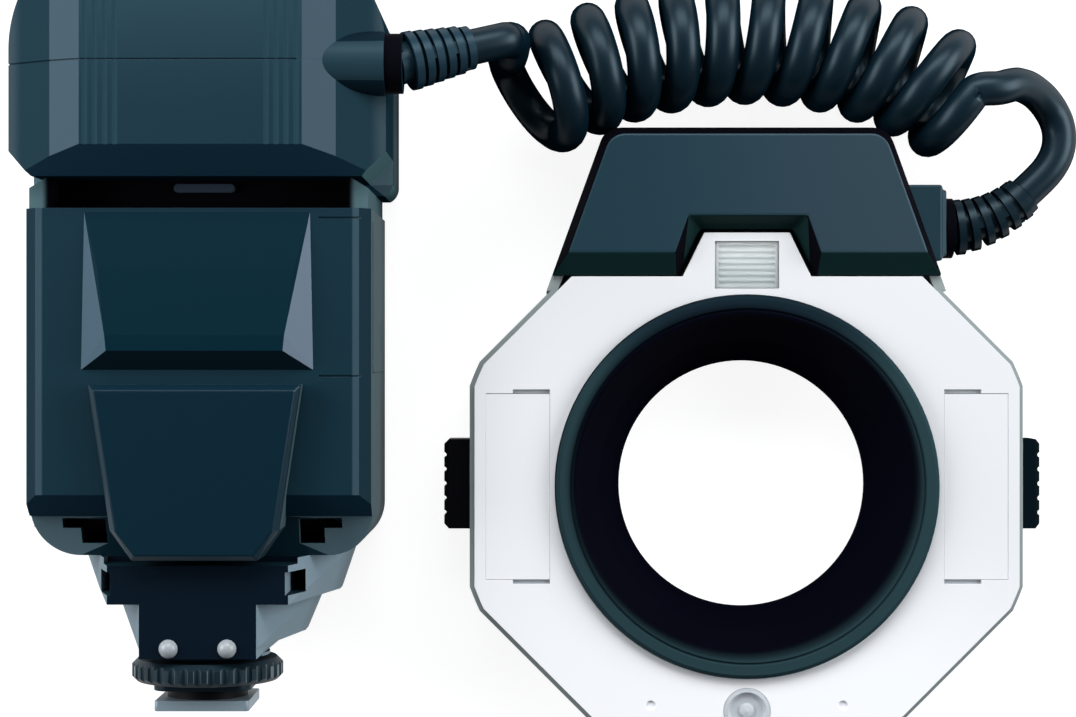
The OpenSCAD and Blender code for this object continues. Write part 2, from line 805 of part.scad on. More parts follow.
module neck_block() {
    front = 34;
    color(black) at_unit() difference() {
        union() {
            box([-33, body_y[1], 0.4], [33, 59.2, 22]);
            box([-29.3, body_y[1], 22], [29.3, head_y, front]);
            both_sides() hull() {
                box([29.3, body_y[1], 20], [33, 59.2, 43]);
                box([29.3, body_y[1], 22], [29.6, head_y, 43]);
            }
            translate([0, head_y - 1.6, front - 1]) linear_extrude(2.4) rounded_rect(12, 1.7, 0.8);
        }
        box([-27, body_y[1] - 1, 3], [27, head_y + 1, front - 3]);
    }
}

module main_capacitor() {
    r = 11;
    color("#20242c") at_unit() translate([0, 92, wall + r]) rotate([0, 90, 0]) {
        cylinder(r = r, h = 48, center = true);
        for (y = [-4, 4]) translate([0, y, 24]) cylinder(r = 0.5, h = 4);
    }
}

// Control unit: display, keys and boards

module key_outline(size, grow) {
    rounded_rect(size[0] + 2 * grow, size[1] + 2 * grow, 1.2 + grow);
}

module push_key(i) {
    size = keys[i][1];
    color(i == 5 ? "#c8682c" : "#9aa3a8") at_unit() translate(keys[i][0]) {
        translate([0, 0, 0.9]) linear_extrude(key_inner - 0.9 + 0.05) key_outline(size, 0);
        translate([0, 0, 0.5]) linear_extrude(0.4) key_outline(size, -0.4);
        translate([0, 0, key_inner + 0.05]) linear_extrude(0.8) key_outline(size, 0.7);
    }
}

module power_switch() {
    color(black) at_unit() translate(switch_at) {
        difference() {
            translate([0, 0, 0.3]) linear_extrude(0.7) rounded_rect(7, 5.4, 1);
            for (x = [-1.6, 0, 1.6]) box([x - 0.3, -2.2, 0.2], [x + 0.3, 2.2, 0.6]);
        }
        translate([0, 0, 1]) linear_extrude(3) square([4, 3], center = true);
        translate([0, 0, key_inner + 0.1]) linear_extrude(0.9) square([6, 5], center = true);
    }
}

module lcd_window() {
    color("#8fa08a") at_unit() translate([0, 43.6, 0.5]) linear_extrude(0.7) rounded_rect(47.6, 18, 1.8);
}

module lcd_module() {
    color("#6f7d6c") at_unit() translate([0, 43.6, 1.2]) linear_extrude(3.8) rounded_rect(38.6, 13.6, 0.8);
}

module main_board() {
    color("darkgreen") at_unit() box([-22, -6, board_z[0]], [22, 52, board_z[1]]);
}

// Control unit: battery bay

module battery_holder() {
    end_x = -inner_half + 0.3;
    color(black) at_unit() difference() {
        intersection() {
            box([end_x, cell_y[0] - cell_r - 1.6, board_z[1]], [24, cell_y[1] + cell_r + 1.6, 37]);
            linear_extrude(60) body_outline(wall + gap);
            translate([0, 0.4, -0.4]) along_x(100) polygon(body_inside);
        }
        for (y = cell_y, z = cell_z) translate([end_x - 1, y, z]) rotate([0, 90, 0])
            cylinder(r = cell_r + 0.2, h = cell_l + 3.4);
        box([-60, cell_y[0], cell_z[0] - 3], [end_x + cell_l + 2, cell_y[1], cell_z[1] + 3]);
    }
}

module aa_cells() {
    end_x = -inner_half + 0.8;
    color("#b98a3a") at_unit() for (i = [0, 1], k = [0, 1]) translate([end_x, cell_y[i], cell_z[k]]) {
        plus_out = (i + k) % 2 == 0;
        rotate([0, 90, 0]) translate([0, 0, plus_out ? 1 : 0]) cylinder(r = cell_r - 0.2, h = cell_l - 1);
        rotate([0, 90, 0]) translate([0, 0, plus_out ? 0 : cell_l - 1]) cylinder(r = 2.6, h = 1);
    }
}

module battery_contacts() {
    color(steel) at_unit() for (y = cell_y, z = cell_z) translate([-inner_half + 0.8 + cell_l, y, z])
        rotate([0, 90, 0]) cylinder(r1 = 3, r2 = 5.4, h = 1.6);
}

module battery_door() {
    low = [-body_half, bay_y[0] + 0.3, bay_z[0] + 0.3];
    high = [-inner_half - 0.1, door_pin[1], bay_z[1] - 0.3];
    color(slate) at_unit() difference() {
        union() {
            box(low, high);
            translate([door_pin[0], door_pin[1], low[2]]) cylinder(r = door_edge_r, h = high[2] - low[2]);
        }
        translate([door_pin[0], door_pin[1], 0]) cylinder(r = pin_r + 0.06, h = 60);
        for (y = [-4, -2, 0, 2]) box([-body_half - 1, y, 12], [-body_half + 0.5, y + 0.9, 30]);
        box([high[0] - 0.6, cell_y[0] - 5, cell_z[0] - 6], [high[0] + 1, cell_y[1] + 5, cell_z[1] + 6]);
    }
}

module door_contacts() {
    x = -inner_half - 0.7;
    color(steel) at_unit() for (z = cell_z) {
        box([x, cell_y[0] - 4.6, z - 4], [x + 0.4, cell_y[1] + 4.6, z + 4]);
        for (y = cell_y) translate([x + 0.4, y, z]) rotate([0, 90, 0]) cylinder(r1 = 2.4, r2 = 1.6, h = 0.5);
    }
}

module door_hinge_pin() {
    color(steel) at_unit() translate([door_pin[0], door_pin[1], bay_z[0] - 2])
        cylinder(r = pin_r, h = bay_z[1] - bay_z[0] + 4);
}

module unit_screws() {
    color(steel) at_unit() unit_screw_places() difference() {
        union() {
            translate([0, 0, 0.8]) cylinder(r = 2.4, h = 1.6);
            translate([0, 0, 2]) cylinder(r = 1.1, h = 28);
        }
        box([-1.7, -0.3, 0.5], [1.7, 0.3, 1.6]);
        box([-0.3, -1.7, 0.5], [0.3, 1.7, 1.6]);
    }
}

// Hot shoe

module shoe_tier(half, rear_half, high, low) {
    hull() {
        box([-half, low, 43], [half, high, 44.5]);
        translate([0, 0, 6]) linear_extrude(6) polygon([[-rear_half[0], high], [rear_half[0], high],
            [rear_half[1], low], [-rear_half[1], low]]);
    }
}

module shoe_base() {
    color(slate) at_unit() difference() {
        union() {
            shoe_tier(17.6, [28, 25], body_y[0], tier_y[0]);
            shoe_tier(11.4, [21.4, 17.8], tier_y[0], tier_y[1]);
            shoe_tier(11.4, [13.4, 12.4], tier_y[1], tier_y[2]);
            translate([0, tier_y[2], shoe_z]) rotate([90, 0, 0]) cylinder(r = 12.4, h = 0.6);
            for (x = [-5.7, 5.7]) translate([x, tier_y[1], 44]) sphere(r = 1.9);
        }
        translate([0, 0, shoe_z]) rotate([90, 0, 0]) cylinder(r = stem_r + 0.02, h = 60);
        for (x = [-18.6, 18.6]) box([x - 1.6, -20, 10], [x + 1.6, -15.5, 60]);
        box([-19, body_y[0] - 1.2, 36], [19, body_y[0] + 1, 60]);
    }
}

module shoe_foot() {
    pin_hole = 1;
    color(steel) at_unit() difference() {
        union() {
            translate([0, -24, shoe_z]) rotate([90, 0, 0]) cylinder(r = stem_r, h = 18.5);
            translate([0, foot_y, shoe_z]) rotate([-90, 0, 0]) linear_extrude(foot_t)
                rounded_rect(foot_w, 18.4, 0.8);
        }
        for (p = contact_places) translate([p[0], 0, shoe_z + p[1]]) rotate([90, 0, 0])
            cylinder(r = 1.1, h = 60);
        translate([0, -30, shoe_z + lock_pin_z]) rotate([90, 0, 0]) cylinder(r = pin_hole, h = 30);
    }
}

module shoe_contacts() {
    color("goldenrod") at_unit() for (p = contact_places)
        translate([p[0], foot_y - 0.8, shoe_z + p[1]]) rotate([-90, 0, 0]) {
            translate([0, 0, 0.4]) cylinder(r = 1.04, h = 11);
            cylinder(r1 = 0.7, r2 = 1.04, h = 0.4);
        }
}

module lock_pin() {
    color(steel) at_unit() translate([0, foot_y + 0.2, shoe_z + lock_pin_z]) rotate([-90, 0, 0])
        cylinder(r = 0.94, h = 11);
}

module lock_wheel() {
    bore_r = stem_r + 0.08;
    t = wheel_y[1] - wheel_y[0];
    color(black) at_unit() translate([0, wheel_y[1], shoe_z]) rotate([90, 0, 0]) difference() {
        rotate_extrude() polygon([[bore_r, 0], [wheel_r - 1.2, 0], [wheel_r, 1.2], [wheel_r, t - 1],
            [wheel_r - 1, t], [bore_r, t]]);
        for (i = [1 : wheel_ridges]) rotate(i * 360 / wheel_ridges) translate([wheel_r + 0.3, 0, -1])
            cylinder(r = 0.8, h = 10, $fn = 24);
    }
}

module clamp_plate() {
    color(black) at_unit() translate([0, clamp_y[1], shoe_z]) rotate([90, 0, 0]) difference() {
        linear_extrude(clamp_y[1] - clamp_y[0]) rounded_rect(19.2, 20, 3);
        translate([0, 0, -1]) cylinder(r = stem_r + 0.08, h = 10);
    }
}

front_shell();
rear_shell();
side_panel();
nameplate_panel();
af_window();
af_lamp();
head_lower_shell();
head_upper_shell();
neck_block();
main_capacitor();
main_board();
lcd_module();
lcd_window();
battery_holder();
aa_cells();
battery_contacts();
battery_door();
door_contacts();
door_hinge_pin();
push_key(0);  // mode_key
push_key(1);  // select_key
push_key(2);  // minus_key
push_key(3);  // plus_key
push_key(4);  // light_key
push_key(5);  // test_key
power_switch();
shoe_base();
shoe_foot();
lock_wheel();
clamp_plate();
lock_pin();
shoe_contacts();
unit_screws();
unit_relief();
ring_housing();
front_panel();
top_cover();
bezel();
adapter_seat();
mirror([1, 0, 0]) flash_window();  // left_window
flash_window();  // right_window
mirror([1, 0, 0]) reflector();  // left_reflector
reflector();  // right_reflector
mirror([1, 0, 0]) xenon_tube();  // left_tube
xenon_tube();  // right_tube
upper_lamp_window();
lower_lamp_lens();
lamp_bulbs();
ring_board();
trigger_coil();
mirror([1, 0, 0]) release_button();  // left_button
release_button();  // right_button
mirror([1, 0, 0]) latch(0);  // left_latch
latch(1);  // right_latch
mirror([1, 0, 0]) release_springs();  // left_springs
release_springs();  // right_springs
ring_gland();
ring_relief();
ring_screws();
curly_cord();
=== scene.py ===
"""Looks of the macro ring flash: camera, materials, cord, springs, floor and lamps. Metres, in the CAD frame."""

import math

import bmesh
import bpy
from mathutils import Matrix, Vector


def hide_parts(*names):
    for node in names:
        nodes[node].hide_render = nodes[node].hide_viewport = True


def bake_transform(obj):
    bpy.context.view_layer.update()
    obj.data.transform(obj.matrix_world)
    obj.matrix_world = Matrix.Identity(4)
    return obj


bpy.ops.wm.read_factory_settings(use_empty=True)
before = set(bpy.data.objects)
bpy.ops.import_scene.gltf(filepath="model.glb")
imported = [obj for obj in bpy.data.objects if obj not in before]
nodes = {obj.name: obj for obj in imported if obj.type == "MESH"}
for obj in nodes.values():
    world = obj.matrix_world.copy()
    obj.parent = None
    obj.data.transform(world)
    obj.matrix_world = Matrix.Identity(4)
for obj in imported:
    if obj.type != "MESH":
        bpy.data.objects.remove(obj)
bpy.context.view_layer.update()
scene = bpy.context.scene

MM = 0.001
UNIT_X = -108.5     # middle of the control unit, mm
HEAD_HALF = 36.6    # half the width of its head, mm
UNIT_AT = (UNIT_X * MM, 0, 0)


# Camera: straight down on both units, which lie on their backs

CAMERA_AT = (-0.0424, 0.026, 0.5)
CAMERA_LENS_MM = 78.52
SENSOR_MM = 36.0

camera_data = bpy.data.cameras.new("camera")
camera_data.lens = CAMERA_LENS_MM
camera_data.sensor_width = SENSOR_MM
camera = bpy.data.objects.new("camera", camera_data)
camera.location = CAMERA_AT
scene.collection.objects.link(camera)
scene.camera = camera


# Material helpers

ALONG_X = (1, 0, 0)
ALONG_Y = (0, 1, 0)
ALONG_Z = (0, 0, 1)
ACROSS_Z = (1, 1, 0)
GRAIN_SCALE = 2600.0
GRAIN_DETAIL = 3.0
GRAIN_STRENGTH = 0.05
GRAIN_DEPTH = 0.0002


def principled(name, color, roughness, specular=0.5, metallic=0.0, **extra):
    material = bpy.data.materials.new(name)
    material.use_nodes = True
    shader = material.node_tree.nodes["Principled BSDF"]
    shader.inputs["Base Color"].default_value = (*color, 1.0)
    shader.inputs["Roughness"].default_value = roughness
    shader.inputs["Specular IOR Level"].default_value = specular
    shader.inputs["Metallic"].default_value = metallic
    for key, value in extra.items():
        shader.inputs[key.replace("_", " ")].default_value = value
    return material


def grained(*args, **extra):
    """A principled material with fine moulded grain: a bump from noise in object space."""
    material = principled(*args, **extra)
    tree = material.node_tree
    place = tree.nodes.new("ShaderNodeTexCoord")
    noise = tree.nodes.new("ShaderNodeTexNoise")
    noise.inputs["Scale"].default_value = GRAIN_SCALE
    noise.inputs["Detail"].default_value = GRAIN_DETAIL
    bump = tree.nodes.new("ShaderNodeBump")
    bump.inputs["Strength"].default_value = GRAIN_STRENGTH
    bump.inputs["Distance"].default_value = GRAIN_DEPTH
    tree.links.new(place.outputs["Object"], noise.inputs["Vector"])
    tree.links.new(noise.outputs["Fac"], bump.inputs["Height"])
    tree.links.new(bump.outputs["Normal"], tree.nodes["Principled BSDF"].inputs["Normal"])
    return material


def in_frame(material, axes, origin=(0, 0, 0)):
    """Object-space position from an origin, multiplied by axes, as a vector socket."""
    tree = material.node_tree
    place = tree.nodes.new("ShaderNodeTexCoord")
    moved = tree.nodes.new("ShaderNodeVectorMath")
    moved.operation = "SUBTRACT"
    moved.inputs[1].default_value = origin
    mask = tree.nodes.new("ShaderNodeVectorMath")
    mask.operation = "MULTIPLY"
    mask.inputs[1].default_value = axes
    tree.links.new(place.outputs["Object"], moved.inputs[0])
    tree.links.new(moved.outputs["Vector"], mask.inputs[0])
    return mask.outputs["Vector"]


def length_of(material, axes, origin):
    """Distance from an origin along some axes, as a value socket."""
    tree = material.node_tree
    length = tree.nodes.new("ShaderNodeVectorMath")
    length.operation = "LENGTH"
    tree.links.new(in_frame(material, axes, origin), length.inputs[0])
    return length.outputs["Value"]


def off_lines(material, origin, reach):
    """Distance from the two lines that run along Y at a reach to the left and right of an origin."""
    tree = material.node_tree
    gap = tree.nodes.new("ShaderNodeMath")
    gap.operation = "SUBTRACT"
    gap.inputs[1].default_value = reach
    size = tree.nodes.new("ShaderNodeMath")
    size.operation = "ABSOLUTE"
    tree.links.new(length_of(material, ALONG_X, origin), gap.inputs[0])
    tree.links.new(gap.outputs["Value"], size.inputs[0])
    return size.outputs["Value"]


def sideways(material):
    """How far the surface faces left or right, from 0 to 1, as a value socket."""
    tree = material.node_tree
    place = tree.nodes.new("ShaderNodeTexCoord")
    split = tree.nodes.new("ShaderNodeSeparateXYZ")
    size = tree.nodes.new("ShaderNodeMath")
    size.operation = "ABSOLUTE"
    tree.links.new(place.outputs["Normal"], split.inputs["Vector"])
    tree.links.new(split.outputs["X"], size.inputs[0])
    return size.outputs["Value"]


def fade(material, value, start, end, first, last):
    """Base colour that runs from first to last, a colour or a socket, while value goes from start to end."""
    tree = material.node_tree
    ramp = tree.nodes.new("ShaderNodeMapRange")
    ramp.interpolation_type = "SMOOTHSTEP"
    ramp.inputs["From Min"].default_value = start
    ramp.inputs["From Max"].default_value = end
    mix = tree.nodes.new("ShaderNodeMix")
    mix.data_type = "RGBA"
    mix.inputs["A"].default_value = (*first, 1.0)
    if isinstance(last, bpy.types.NodeSocket):
        tree.links.new(last, mix.inputs["B"])
    else:
        mix.inputs["B"].default_value = (*last, 1.0)
    tree.links.new(value, ramp.inputs["Value"])
    tree.links.new(ramp.outputs["Result"], mix.inputs["Factor"])
    tree.links.new(mix.outputs["Result"], tree.nodes["Principled BSDF"].inputs["Base Color"])
    return mix.outputs["Result"]


def fade_along(material, axes, start, end, first, last):
    """Base colour that runs from first to last along a direction of the object."""
    tree = material.node_tree
    total = tree.nodes.new("ShaderNodeVectorMath")
    total.operation = "DOT_PRODUCT"
    total.inputs[1].default_value = (1, 1, 1)
    tree.links.new(in_frame(material, axes), total.inputs[0])
    return fade(material, total.outputs["Value"], start, end, first, last)


def shine_above(material, start, end, most):
    """Gloss only where the surface turns upwards, so the sides reflect nothing and stay dark: painted shade in
    place of their reflections.
    """
    tree = material.node_tree
    surface = tree.nodes.new("ShaderNodeNewGeometry")
    split = tree.nodes.new("ShaderNodeSeparateXYZ")
    ramp = tree.nodes.new("ShaderNodeMapRange")
    ramp.interpolation_type = "SMOOTHSTEP"
    ramp.inputs["From Min"].default_value = start
    ramp.inputs["From Max"].default_value = end
    ramp.inputs["To Max"].default_value = most
    tree.links.new(surface.outputs["Normal"], split.inputs["Vector"])
    tree.links.new(split.outputs["Z"], ramp.inputs["Value"])
    tree.links.new(ramp.outputs["Result"], tree.nodes["Principled BSDF"].inputs["Specular IOR Level"])


# Colours and ranges that several materials share

BLACK = (0.0014, 0.0014, 0.0036)
SLATE = (0.0046, 0.0228, 0.0360)
WALL_SLATE = (0.0058, 0.0235, 0.0365)
OUTER_SLATE = (0.0085, 0.0315, 0.0460)
LIT_WALL_GREY = (0.055, 0.092, 0.106)
LIT_FACET_GREY = (0.058, 0.100, 0.136)
LIT_CHEEK_GREY = (0.075, 0.135, 0.155)
COOL = (0.6, 0.85, 1.0, 1.0)
TURNED_SIDEWAYS = (0.72, 0.99)
TOP_GLOSS_RANGE = (0.35, 0.90, 0.36)

# Where base colours fade from one to another, in metres; most of these fades are painted light or shade

EDGE_HIGHLIGHT_AT = 0.0310       # middle of the painted highlight band along the front's edges, from the unit's middle plane
EDGE_HIGHLIGHT_HALF = (0.0007, 0.0011)
HEAD_TOP_LIGHT_RUN = (0.07, 0.11)
HEAD_EDGE_HIGHLIGHT_BAND = (0.0334, 0.0362)
HEAD_WALL_BOUNCE_RUN = (0.015, 0.025)
CHEEK_EDGE = (0.0293, 0.0307)
PLATE_WIDTH = (-0.118, -0.099)
SHOE_WIDTH = (-0.122, -0.095)
COVER_WIDTH = (-0.03, 0.03)
BEZEL_AT = (-0.0005, 0.0009, 0)
BEZEL_RIM = (0.0343, 0.0369)
BEZEL_TOP_SHADE = (0.020, 0.036)
PANEL_SHADE_SLOPE = (0.6, 1, 0)
PANEL_SHADE_RUN = (-0.030, 0.034)
LAMP_TOP_LIGHT_RUN = (0.0405, 0.0495)
RELIEF_TO_RELIEF = (-0.055, 0.040)


# Control unit

slate = grained("slate_plastic", SLATE, 0.36, 0.34, Specular_Tint=COOL)

front_slate_edge_lit = grained("front_plastic_edge_lit", SLATE, 0.36, 0.34, Specular_Tint=COOL)
# A lighter band just inside the front's side edges: a painted highlight
fade(front_slate_edge_lit, off_lines(front_slate_edge_lit, UNIT_AT, EDGE_HIGHLIGHT_AT), *EDGE_HIGHLIGHT_HALF, (0.033, 0.065, 0.088), SLATE)

head_slate = grained("head_plastic", (0.010, 0.035, 0.053), 0.36, 0.4, Specular_Tint=COOL)
# The head is painted lighter towards its top end, where more light falls: painted light
fade_along(head_slate, ALONG_Y, *HEAD_TOP_LIGHT_RUN, (0.0062, 0.0265, 0.0410), (0.020, 0.053, 0.072))

plate_slate = grained("plate_plastic", (0.0018, 0.0165, 0.0270), 0.36, 0.08, Specular_Tint=COOL)
# Side facets of the nameplate: a lighter copy of the slate, lighter still to the right: painted light
lit_plate_facet = principled("lit_plate_facet", LIT_FACET_GREY, 0.6, 0.1, Specular_Tint=COOL)
fade_along(lit_plate_facet, ALONG_X, *PLATE_WIDTH, LIT_FACET_GREY, (0.128, 0.172, 0.228))

# Inner side facets of the head: a lighter copy of the slate, painted light
lit_head_facet = principled("lit_head_facet", (0.050, 0.083, 0.112), 0.6, 0.1, Specular_Tint=COOL)
# Outer facets of the head: a matte copy, painted lighter towards the outer edge as a highlight line
head_outer_highlight = principled("head_outer_highlight", OUTER_SLATE, 0.7, 0.05)
fade(head_outer_highlight, length_of(head_outer_highlight, ALONG_X, UNIT_AT), *HEAD_EDGE_HIGHLIGHT_BAND, OUTER_SLATE, (0.034, 0.062, 0.080))
# Down-facing bevels under the head: a lighter copy of the slate, painted fill light
lit_head_bevel = principled("lit_head_bevel", (0.0110, 0.0460, 0.0790), 0.7, 0.05)
# Walls of the head's grooves: a lighter matte copy of the slate, painted light
lit_head_groove = principled("lit_head_groove", (0.0150, 0.0450, 0.0650), 0.7, 0.05)
# Lower corner facets of the head: a much lighter copy of the slate, painted light
lit_head_corner = principled("lit_head_corner", (0.070, 0.150, 0.170), 0.7, 0.0)

matte_slate = principled("matte_slate", WALL_SLATE, 0.7, 0.06)
# Walls turned sideways are painted lighter grey: painted light on the sides
lit_side_slate = principled("lit_side_slate", WALL_SLATE, 0.7, 0.06)
fade(lit_side_slate, sideways(lit_side_slate), *TURNED_SIDEWAYS, WALL_SLATE, LIT_WALL_GREY)
# Head walls turned sideways: painted lighter towards the floor and darker above, as painted bounce light and
# shade
lit_head_side = principled("lit_head_side", WALL_SLATE, 0.7, 0.0)
wall_bounce_light = fade_along(lit_head_side, ALONG_Z, *HEAD_WALL_BOUNCE_RUN, (0.075, 0.115, 0.132), (0.0090, 0.0300, 0.0440))
fade(lit_head_side, sideways(lit_head_side), *TURNED_SIDEWAYS, WALL_SLATE, wall_bounce_light)
# The neck's end cheeks are painted lighter grey: painted light, standing for part of the head's lit corner facet;
# the neck's middle stays black
lit_neck_cheek = principled("lit_neck_cheek", LIT_CHEEK_GREY, 0.7, 0.0)
fade(lit_neck_cheek, length_of(lit_neck_cheek, ALONG_X, UNIT_AT), *CHEEK_EDGE, BLACK, LIT_CHEEK_GREY)
# Lighter grey on the front of the neck's tongue: a painted highlight
tongue_highlight = principled("tongue_highlight", (0.040, 0.060, 0.092), 0.5, 0.12)

chin_slate = principled("chin_slate", (0.0020, 0.0240, 0.0460), 0.7, 0.05)
# Near-black copy of the slate: painted shade on down-facing faces and in the gap above the gland
shade_dark = principled("shade_dark", (0.0024, 0.0120, 0.0210), 0.7, 0.05)
dark_window = principled("dark_window", (0.0026, 0.0160, 0.0275), 0.3, 0.25, Specular_Tint=COOL)
# The side panel takes the same lighter grey: painted light on the side
lit_side_grey = principled("grey_plastic", LIT_WALL_GREY, 0.7, 0.05)
# Lighter grey on the low ledges of the head and body: painted light
lit_ledge_grey = principled("lit_ledge_grey", (0.110, 0.185, 0.225), 0.7, 0.05)
gland_slate = principled("gland_slate", (0.0120, 0.0340, 0.0480), 0.45, 0.2, Specular_Tint=COOL)

# The shoe's side faces: painted light blue-grey, lighter to the right, for the light falling on them
lit_shoe_side = principled("lit_shoe_side", (0.15, 0.20, 0.235), 0.6, 0.15)
fade_along(lit_shoe_side, ALONG_X, *SHOE_WIDTH, (0.135, 0.196, 0.240), (0.190, 0.270, 0.325))
shoe_dark = principled("shoe_dark", (0.0010, 0.0050, 0.0115), 0.5, 0.12, Specular_Tint=COOL)
# Two small nubs on the shoe painted bright grey: painted glints
nub_glint = principled("nub_glint", (0.32, 0.36, 0.39), 0.3, 0.5)
foot_steel = principled("foot_steel", (0.20, 0.27, 0.32), 0.45, 0.5, 0.2)
wheel_black = principled("wheel_black", (0.004, 0.012, 0.019), 0.5, 0.25, Specular_Tint=COOL)
wheel_grey = principled("wheel_grey", (0.10, 0.13, 0.15), 0.5, 0.3)

display = principled("display", (0.23, 0.29, 0.24), 0.18, 0.5)
key_grey = principled("key_rubber", (0.26, 0.30, 0.32), 0.6, 0.3)
key_orange = principled("test_rubber", (0.55, 0.14, 0.03), 0.55, 0.3)
red_lamp = principled("red_lamp", (0.25, 0.01, 0.01), 0.15)


# Ring head

cover_slate = grained("cover_plastic", (0.010, 0.028, 0.039), 0.40, 0.3, Specular_Tint=COOL)
# The cover is painted lighter towards the right, where more light falls: painted light
fade_along(cover_slate, ALONG_X, *COVER_WIDTH, (0.0105, 0.034, 0.050), (0.023, 0.045, 0.062))
# The cover's sloping lower edge: a darker matte copy of the slate, painted shade
cover_slope_shade = principled("cover_slope_shade", (0.0030, 0.0190, 0.0200), 0.6, 0.08)
housing_grey = principled("housing_plastic", (0.27, 0.31, 0.315), 0.6, 0.15)
button_dark = principled("button_dark", (0.0030, 0.0080, 0.0120), 0.9, 0.0)

bezel_black = principled("bezel_black", BLACK, 0.9, 0.02)
# Bezel rim: slate with a painted soft highlight, painted darker towards the top as shade; the funnel inside it is
# black
rim_highlight_and_shade = fade_along(bezel_black, ALONG_Y, *BEZEL_TOP_SHADE, (0.0185, 0.0430, 0.0520), (0.0070, 0.0170, 0.0250))
fade(bezel_black, length_of(bezel_black, ACROSS_Z, BEZEL_AT), *BEZEL_RIM, (0.0010, 0.0012, 0.0045), rim_highlight_and_shade)

white = principled("white_plastic", (0.82, 0.84, 0.88), 0.75, 0.05)
diffuser = principled("diffuser", (0.78, 0.81, 0.86), 0.7, 0.06)
# The white panel and windows are painted darker towards the upper right: painted shade
for pale in (white, diffuser):
    fade_along(pale, PANEL_SHADE_SLOPE, *PANEL_SHADE_RUN, (0.845, 0.862, 0.896), (0.690, 0.712, 0.742))
# Grey on the floors of the panel's small notches: painted shade in the notches
notch_shade_grey = principled("notch_shade_grey", (0.42, 0.45, 0.48), 0.6, 0.2)
lamp_clear = principled("lamp_plastic", (0.58, 0.64, 0.66), 0.4, 0.2, Subsurface_Weight=1.0,
                        Subsurface_Radius=(1, 1, 1), Subsurface_Scale=0.005)
# The upper lamp window is painted lighter towards its top: painted light
fade_along(lamp_clear, ALONG_Y, *LAMP_TOP_LIGHT_RUN, (0.47, 0.53, 0.54), (0.68, 0.74, 0.755))
lens_clear = principled("lens_plastic", (0.50, 0.54, 0.58), 0.2, 0.4)


# Both units and the cord

# Near-black: painted shade on the cover's outer walls, and the own black of the reliefs' collars
shade_and_collar_black = principled("shade_and_collar_black", BLACK, 0.8, 0.03)
black = principled("black_plastic", BLACK, 0.55, 0.12)
deep_black = principled("deep_black", BLACK, 0.7, 0.06)
rubber = principled("black_rubber", (0.0026, 0.0105, 0.0180), 0.38, 0.5, Specular_Tint=COOL)
shine_above(rubber, *TOP_GLOSS_RANGE)
relief_rubber = principled("relief_rubber", (0.0046, 0.0190, 0.0310), 0.38, 0.5, Specular_Tint=COOL)
shine_above(relief_rubber, *TOP_GLOSS_RANGE)
fade_along(relief_rubber, ALONG_X, *RELIEF_TO_RELIEF, (0.0080, 0.0285, 0.0450), (0.0022, 0.0100, 0.0170))
steel = principled("steel", (0.42, 0.45, 0.47), 0.35, 0.5, 1.0)
bright_metal = principled("bright_metal", (0.8, 0.8, 0.8), 0.2, 0.5, 1.0)
gold = principled("contact_gold", (0.75, 0.55, 0.22), 0.3, 0.5, 1.0)
copper = principled("copper", (0.6, 0.28, 0.1), 0.35, 0.5, 1.0)
board_green = principled("board", (0.006, 0.030, 0.016), 0.5)
cell_wrap = principled("cell_wrap", (0.5, 0.32, 0.1), 0.35)
glass = principled("tube_glass", (0.9, 0.93, 0.95), 0.08, 0.5, 0.0, Transmission_Weight=0.8)

LOOKS = {
    slate: ["rear_shell", "battery_door", "shoe_base"],
    front_slate_edge_lit: ["front_shell"],
    head_slate: ["head_lower_shell", "head_upper_shell"],
    plate_slate: ["nameplate_panel"],
    cover_slate: ["top_cover"],
    lit_side_grey: ["side_panel"],
    housing_grey: ["ring_housing"],
    black: ["left_button", "power_switch", "main_capacitor"],
    button_dark: ["right_button"],
    gland_slate: ["ring_gland"],
    deep_black: ["neck_block", "battery_holder"],
    wheel_black: ["lock_wheel", "clamp_plate"],
    bezel_black: ["bezel"],
    relief_rubber: ["unit_relief", "ring_relief"],
    white: ["front_panel"],
    diffuser: ["left_window", "right_window"],
    lamp_clear: ["upper_lamp_window"],
    lens_clear: ["lower_lamp_lens"],
    glass: ["left_tube", "right_tube", "lamp_bulbs"],
    dark_window: ["af_window"],
    red_lamp: ["af_lamp"],
    bright_metal: ["left_reflector", "right_reflector", "battery_contacts", "door_contacts"],
    gold: ["shoe_contacts"],
    steel: ["adapter_seat", "left_latch", "right_latch", "left_springs", "right_springs", "ring_screws",
            "unit_screws", "door_hinge_pin", "lock_pin"],
    foot_steel: ["shoe_foot"],
    board_green: ["main_board", "ring_board"],
    copper: ["trigger_coil"],
    cell_wrap: ["aa_cells"],
    display: ["lcd_window", "lcd_module"],
    key_grey: ["mode_key", "select_key", "minus_key", "plus_key", "light_key"],
    key_orange: ["test_key"],
}
for material, names in LOOKS.items():
    for name in names:
        mesh = nodes[name].data
        mesh.materials.clear()
        mesh.materials.append(material)


# Faces with a material of their own. The tests take a face's centre in mm and its normal.

# The first nine are distances from the unit's middle plane
GROOVES_TO = 21.0
LEDGE_FROM = 22.0
CELL_ENDS_FROM = 24.4
HEAD_OUTER_FROM = 27.0
HEAD_CORNER_FROM = 29.0
CHEEK_FROM = 29.5
BODY_EDGE_FROM = 31.0
SHOE_SIDE_FROM = 11.3
TONGUE_HALF = 6.4
TONGUE_Z = 34.2
HEAD_CORNER_Y = 70.0
HEAD_LEDGE_Z = 24.0
BODY_LEDGE_Y = -4.9
GLAND_FROM = UNIT_X + 21.5
GLAND_Y = 83.0
GLAND_HALF = 6.4
GLAND_Z = 40.0
NUB_AT = (5.7, -30.4)
NUB_R = 2.0
NUB_Z = 44.55
FOOT_TOP_Y = -41.2
UNIT_COLLAR_END = UNIT_X + HEAD_HALF + 3.5
RING_COLLAR_END = 43.4
NOTCH_X = (39.4, 47.6)
NOTCH_Y = (18.4, 20.6)
